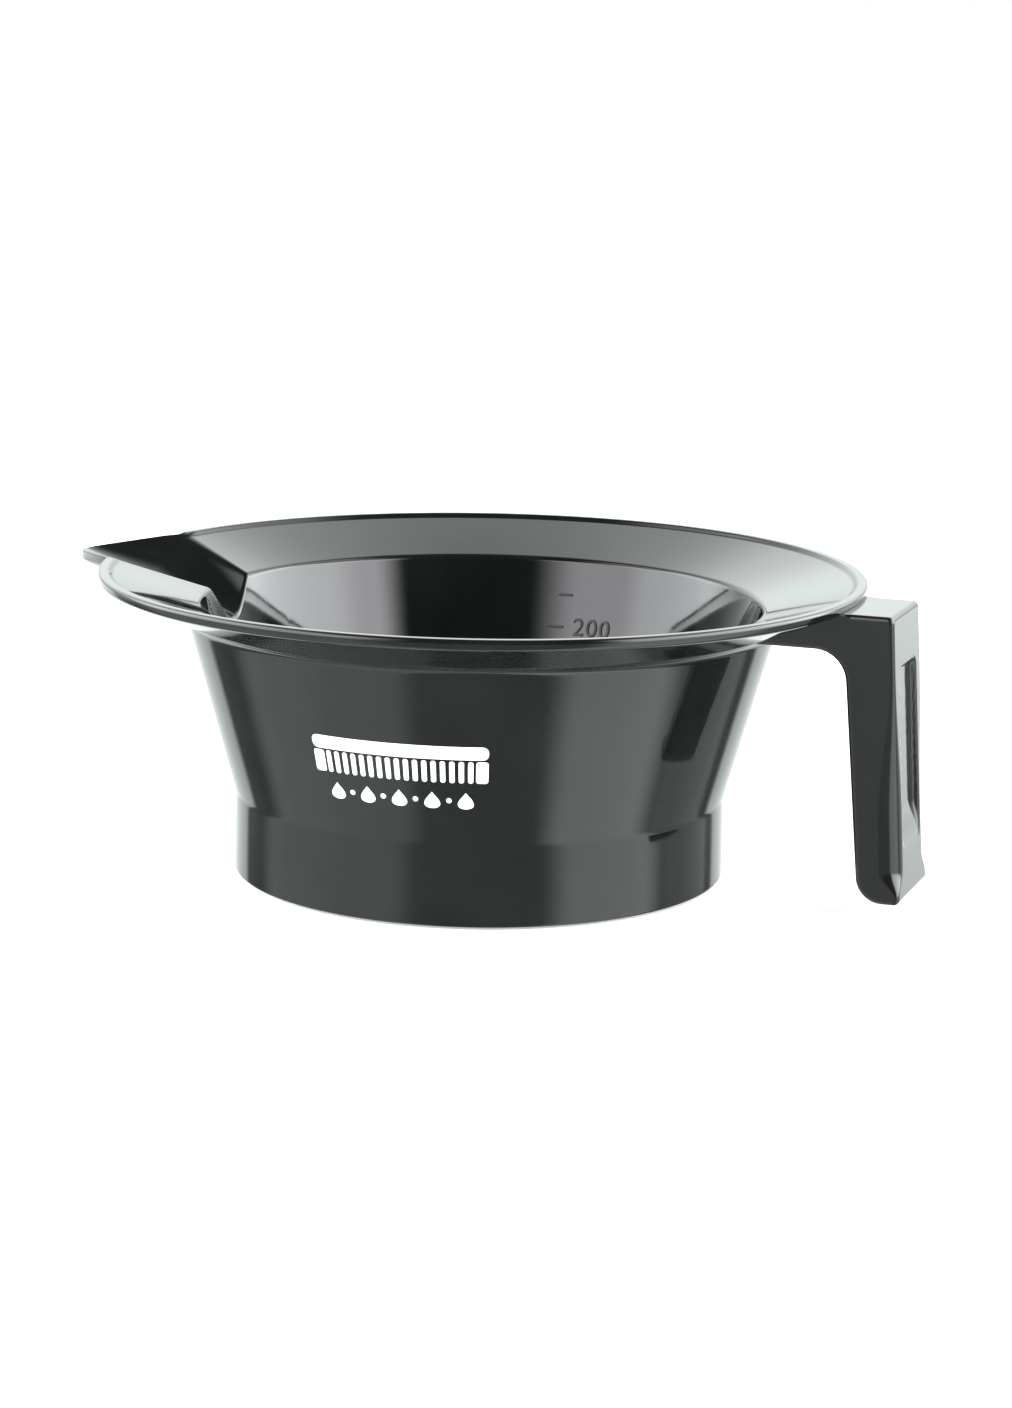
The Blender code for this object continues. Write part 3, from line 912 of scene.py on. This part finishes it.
# Soft panels of light, as seen from the bowl, which add up where they overlap. Angles are degrees.
# Round runs to the right from straight behind the bowl, as the camera sees it, and up is above the
# horizon. Each edge fades over its softness. Below the horizon they are what the gloss shows of the table.
PANELS = [
    # round from, to, softness; up from, to, softness; strength; tint
    (-50, 50, 25, -4, 26, 12, 0.95, "back"),
    (-60, 60, 30, 20, 36, 24, 1.6, "back"),
    (-103, -58, 14, 12, 58, 12, 1.9, "back"),
    (44, 108, 18, 12, 58, 12, 2.2, "back"),
    (-136, -72, 24, 2, 40, 8, 5.4, "side"),
    (66, 130, 16, 2, 40, 8, 7.2, "side"),
    (-180, 180, 5, -100, -8, 8, 0.14, "table"),
    (-180, -100, 30, -100, -8, 8, 0.30, "table"),
    (100, 180, 30, -100, -8, 8, 0.30, "table"),
    (-138, -72, 16, -100, -6, 8, 0.8, "table"),
    (98, 134, 18, -100, -6, 8, 1.9, "table"),
    (50, 80, 6, -100, -6, 8, 0.45, "table"),
    (-38, 35, 6, -100, -6, 8, 1.2, "table"),
]
TINTS = {"back": (0.96, 1.02, 1.0), "side": (1.0, 0.99, 1.03), "table": (0.95, 1.03, 0.99)}
DARK_ROOM = 0.08


def window(nodes, value, low, high, softness):
    """1 between low and high, fading to 0 over softness outside them."""
    rise = nodes.ranged(value, low - softness, low, 0.0, 1.0, smooth=True)
    fall = nodes.ranged(value, high, high + softness, 1.0, 0.0, smooth=True)
    return nodes.maths("MULTIPLY", rise, fall)


def studio_angles(nodes):
    """Where a world direction points: degrees round from straight behind the bowl, and degrees up."""
    direction = nodes.add("ShaderNodeTexCoord").outputs["Generated"]
    turned = nodes.add("ShaderNodeVectorRotate", rotation_type="Z_AXIS")
    turned.inputs["Angle"].default_value = -CAMERA_HEADING
    nodes.link(direction, turned.inputs["Vector"])
    split = nodes.add("ShaderNodeSeparateXYZ")
    nodes.link(turned.outputs[0], split.inputs[0])
    degrees = 180 / math.pi
    heading = nodes.maths("ARCTAN2", split.outputs[0], split.outputs[1])
    rise = nodes.maths("ARCSINE", split.outputs[2])
    return nodes.maths("MULTIPLY", heading, degrees), nodes.maths("MULTIPLY", rise, degrees)


def make_world():
    """The panels light the bowl and are mirrored in it; the camera itself sees plain white paper."""
    world = bpy.data.worlds.new("studio")
    world.use_nodes = True
    bpy.context.scene.world = world
    nodes = Nodes(world.node_tree)
    background = world.node_tree.nodes["Background"]
    heading, rise = studio_angles(nodes)
    colour = (DARK_ROOM,) * 3
    for round_from, round_to, round_soft, up_from, up_to, up_soft, strength, tint in PANELS:
        across = window(nodes, heading, round_from, round_to, round_soft)
        share = nodes.maths("MULTIPLY", across, window(nodes, rise, up_from, up_to, up_soft))
        tone = tuple(strength * part for part in TINTS[tint])
        colour = nodes.sum(colour, nodes.two_tones(share, (0.0, 0.0, 0.0), tone))
    paper = nodes.add("ShaderNodeMix", data_type="RGBA")
    paper.inputs["B"].default_value = (1.0, 1.0, 1.0, 1.0)
    nodes.link(nodes.add("ShaderNodeLightPath").outputs["Is Camera Ray"], paper.inputs["Factor"])
    nodes.link(colour, paper.inputs["A"])
    nodes.link(paper.outputs["Result"], background.inputs["Color"])


FLOOR_HALF_WIDTH = 20.0          # metres
FLOOR_GLOW = 0.4


def make_floor():
    """A plain white table, out of the bowl's reflections. It glows, as an overexposed table does."""
    material, nodes, shader, at = new_material("table_paper")
    tone = nodes.ranged(nodes.noise(at, 3.0), 0.3, 0.7, 0.0, 1.0)
    nodes.link(nodes.two_tones(tone, *PAPER_TONES), shader.inputs["Base Color"])
    shader.inputs["Roughness"].default_value = 0.9
    shader.inputs["Emission Color"].default_value = (1.0, 1.0, 1.0, 1.0)
    shader.inputs["Emission Strength"].default_value = FLOOR_GLOW
    shape = bmesh.new()
    bmesh.ops.create_grid(shape, x_segments=2, y_segments=2, size=FLOOR_HALF_WIDTH)
    mesh = bpy.data.meshes.new("table")
    shape.to_mesh(mesh)
    shape.free()
    mesh.materials.append(material)
    floor = bpy.data.objects.new("table", mesh)
    bpy.context.scene.collection.objects.link(floor)
    floor.visible_glossy = False


def make_camera():
    data = bpy.data.cameras.new("camera")
    data.lens, data.sensor_width = CAMERA_LENS, SENSOR
    data.clip_start, data.clip_end = 0.01, 100.0
    camera = bpy.data.objects.new("camera", data)
    turn = Matrix.Rotation(CAMERA_HEADING, 4, "Z") @ Matrix.Rotation(math.pi / 2 - CAMERA_PITCH, 4, "X")
    camera.matrix_world = Matrix.Translation(CAMERA_AT) @ turn @ Matrix.Rotation(CAMERA_ROLL, 4, "Z")
    bpy.context.scene.collection.objects.link(camera)
    bpy.context.scene.camera = camera


def main():
    make_camera()
    make_world()
    make_floor()
    make_basin(gloss_plastic("moulded_plastic", MOULDED_TONES, MOULDED_ROUGHNESS, MOULDED_WEAR))
    make_handle(gloss_plastic("handle_plastic", HANDLE_TONES, HANDLE_ROUGHNESS, HANDLE_WEAR))
    make_foot_ring(ring_rubber("ring_rubber"))
    make_scale(satin_relief("scale_relief"))
    make_print(printed_ink("white_print"))
    bpy.context.scene.view_settings.view_transform = "Standard"


main()
